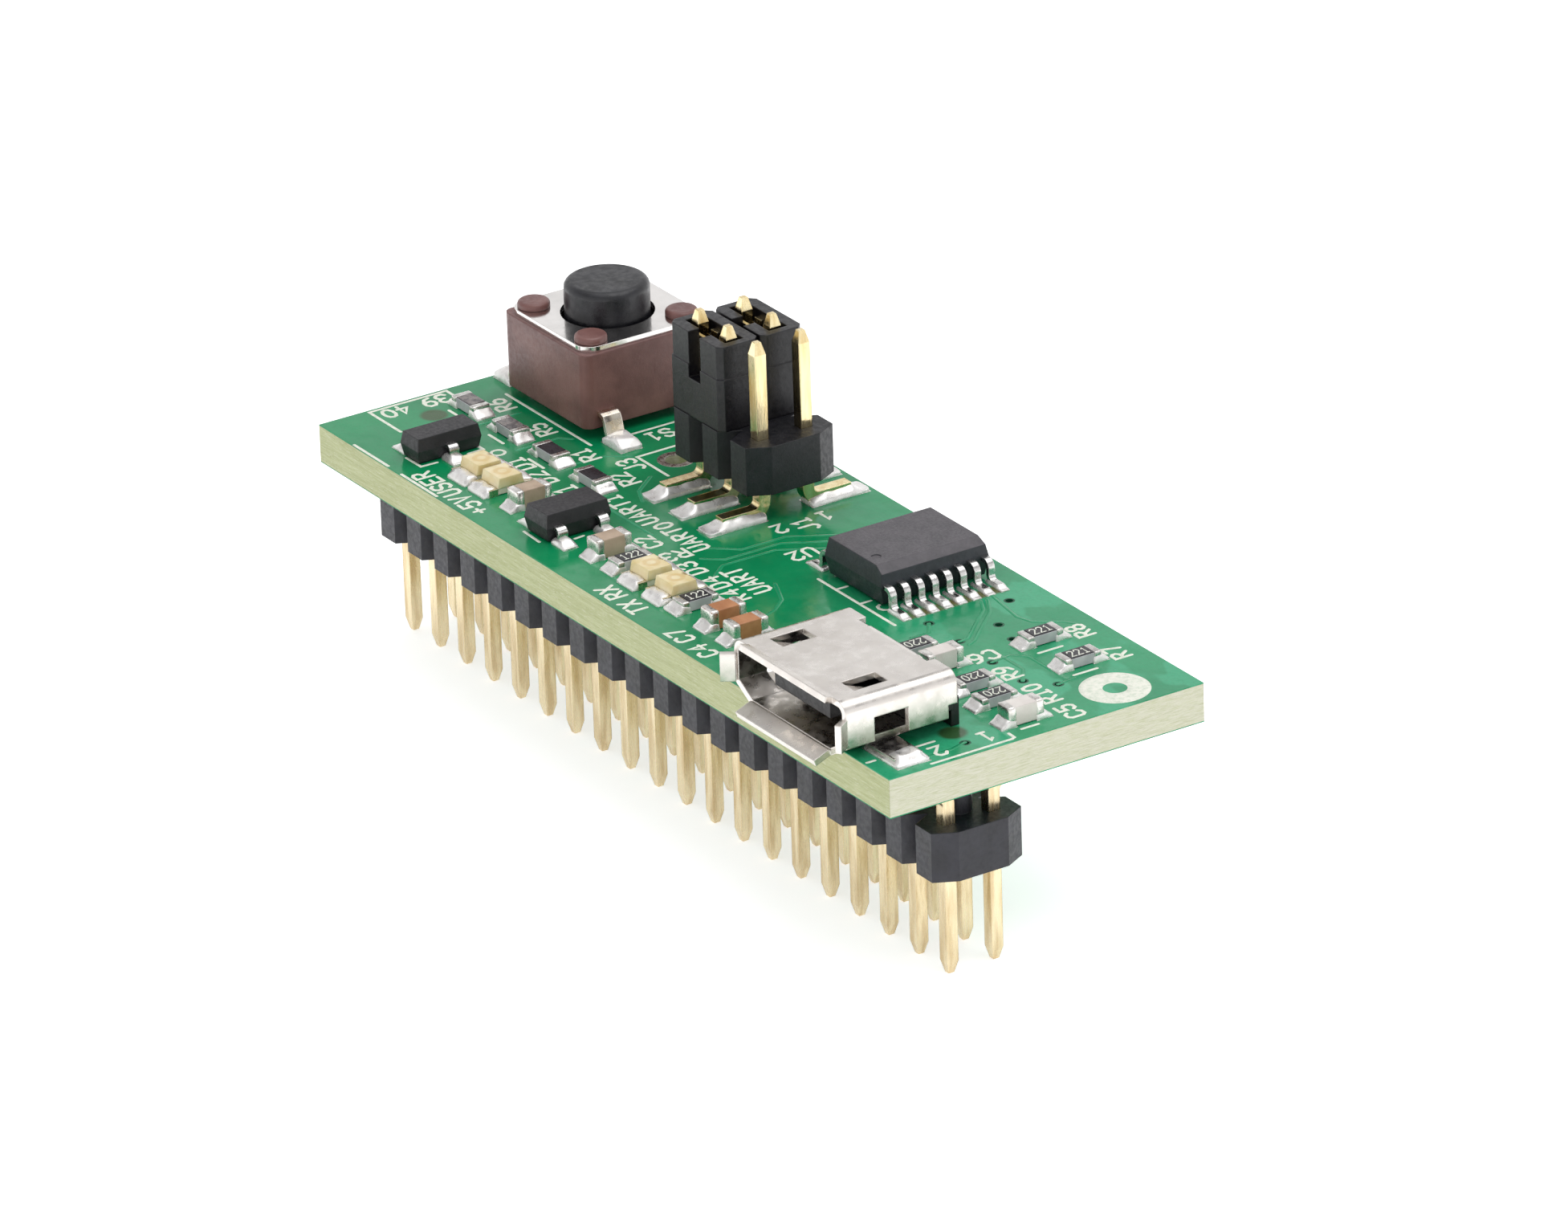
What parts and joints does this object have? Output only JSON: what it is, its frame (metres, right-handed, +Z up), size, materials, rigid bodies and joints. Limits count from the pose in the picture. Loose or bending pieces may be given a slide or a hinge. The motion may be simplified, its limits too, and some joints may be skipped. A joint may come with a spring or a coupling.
{
  "type": "plug-on serial adapter board",
  "caption": "Small circuit board on a double-row pin header, with a micro USB socket, a bridge chip, a push switch and lift-off jumper caps.",
  "frame": {"origin": "middle of the pin field, in the plane of the pin tips that the board stands on", "axes": "+X along the header towards the USB socket's end, +Y towards the far long edge where the chip and switch are, +Z up"},
  "size_m": [0.0404, 0.0153, 0.0165],
  "materials": {
    "board_core": "bare glass-fibre laminate, satin",
    "solder_mask": "glossy green lacquer",
    "copper_pads": "tinned",
    "via_barrels": "lacquered plating",
    "plated_holes": "tinned",
    "header_block": "fine-grained moulding",
    "header_pins": "gold-plated wire",
    "header_solder": "bright solder",
    "jumper_block": "fine-grained moulding",
    "jumper_posts": "gold-plated wire",
    "jumper_solder": "bright solder",
    "jumper_cap_a": "fine-grained moulding",
    "jumper_clip_a": "tinned spring metal",
    "jumper_cap_b": "fine-grained moulding",
    "jumper_clip_b": "tinned spring metal",
    "usb_shell": "satin nickel",
    "usb_insulator": "black moulding",
    "usb_contacts": "gold-plated",
    "usb_solder": "bright solder",
    "switch_base": "brown phenolic moulding",
    "switch_terminals": "tinned",
    "switch_dome": "spring steel",
    "switch_button": "satin moulding",
    "switch_cover": "satin nickel",
    "switch_solder": "bright solder",
    "chip_body": "fine-grained epoxy",
    "chip_lead_frame": "tinned",
    "chip_solder": "bright solder",
    "regulator_body": "fine-grained epoxy",
    "regulator_leads": "tinned",
    "transistor_body": "fine-grained epoxy",
    "transistor_leads": "tinned",
    "small_package_solder": "bright solder",
    "resistor_bodies": "ceramic",
    "resistor_films": "glassy overcoat",
    "resistor_ends": "tinned",
    "brown_capacitors": "ceramic",
    "grey_capacitors": "ceramic",
    "capacitor_ends": "tinned",
    "lamp_bases": "white resin",
    "lamp_terminals": "tinned",
    "lamp_lenses": "cream resin",
    "small_chip_solder": "bright solder"
  },
  "bodies": {
    "board": {"board_core": "board_core", "solder_mask": "solder_mask", "copper_pads": "copper_pads", "via_barrels": "via_barrels", "plated_holes": "plated_holes", "header_block": "header_block", "header_pins": "header_pins", "header_solder": "header_solder", "jumper_block": "jumper_block", "jumper_posts": "jumper_posts", "jumper_solder": "jumper_solder", "usb_shell": "usb_shell", "usb_insulator": "usb_insulator", "usb_contacts": "usb_contacts", "usb_solder": "usb_solder", "switch_base": "switch_base", "switch_terminals": "switch_terminals", "switch_dome": "switch_dome", "switch_cover": "switch_cover", "switch_solder": "switch_solder", "chip_body": "chip_body", "chip_lead_frame": "chip_lead_frame", "chip_solder": "chip_solder", "regulator_body": "regulator_body", "regulator_leads": "regulator_leads", "transistor_body": "transistor_body", "transistor_leads": "transistor_leads", "small_package_solder": "small_package_solder", "resistor_bodies": "resistor_bodies", "resistor_films": "resistor_films", "resistor_ends": "resistor_ends", "brown_capacitors": "brown_capacitors", "grey_capacitors": "grey_capacitors", "capacitor_ends": "capacitor_ends", "lamp_bases": "lamp_bases", "lamp_terminals": "lamp_terminals", "lamp_lenses": "lamp_lenses", "small_chip_solder": "small_chip_solder"},
    "button": {"switch_button": "switch_button"},
    "cap_a": {"jumper_cap_a": "jumper_cap_a", "jumper_clip_a": "jumper_clip_a"},
    "cap_b": {"jumper_cap_b": "jumper_cap_b", "jumper_clip_b": "jumper_clip_b"}
  },
  "joints": [
    {"name": "button_press", "type": "slide", "parent": "board", "child": "button", "axis": [0, 0, -1], "range_m": [0, 0.00025], "stiffness_N_per_m": 6000, "deforming": ["switch_dome"]},
    {"name": "cap_a_pull", "type": "slide", "parent": "board", "child": "cap_a", "axis": [0, 0, 1], "range_m": [0, 0.006]},
    {"name": "cap_b_pull", "type": "slide", "parent": "board", "child": "cap_b", "axis": [0, 0, 1], "range_m": [0, 0.006]}
  ]
}
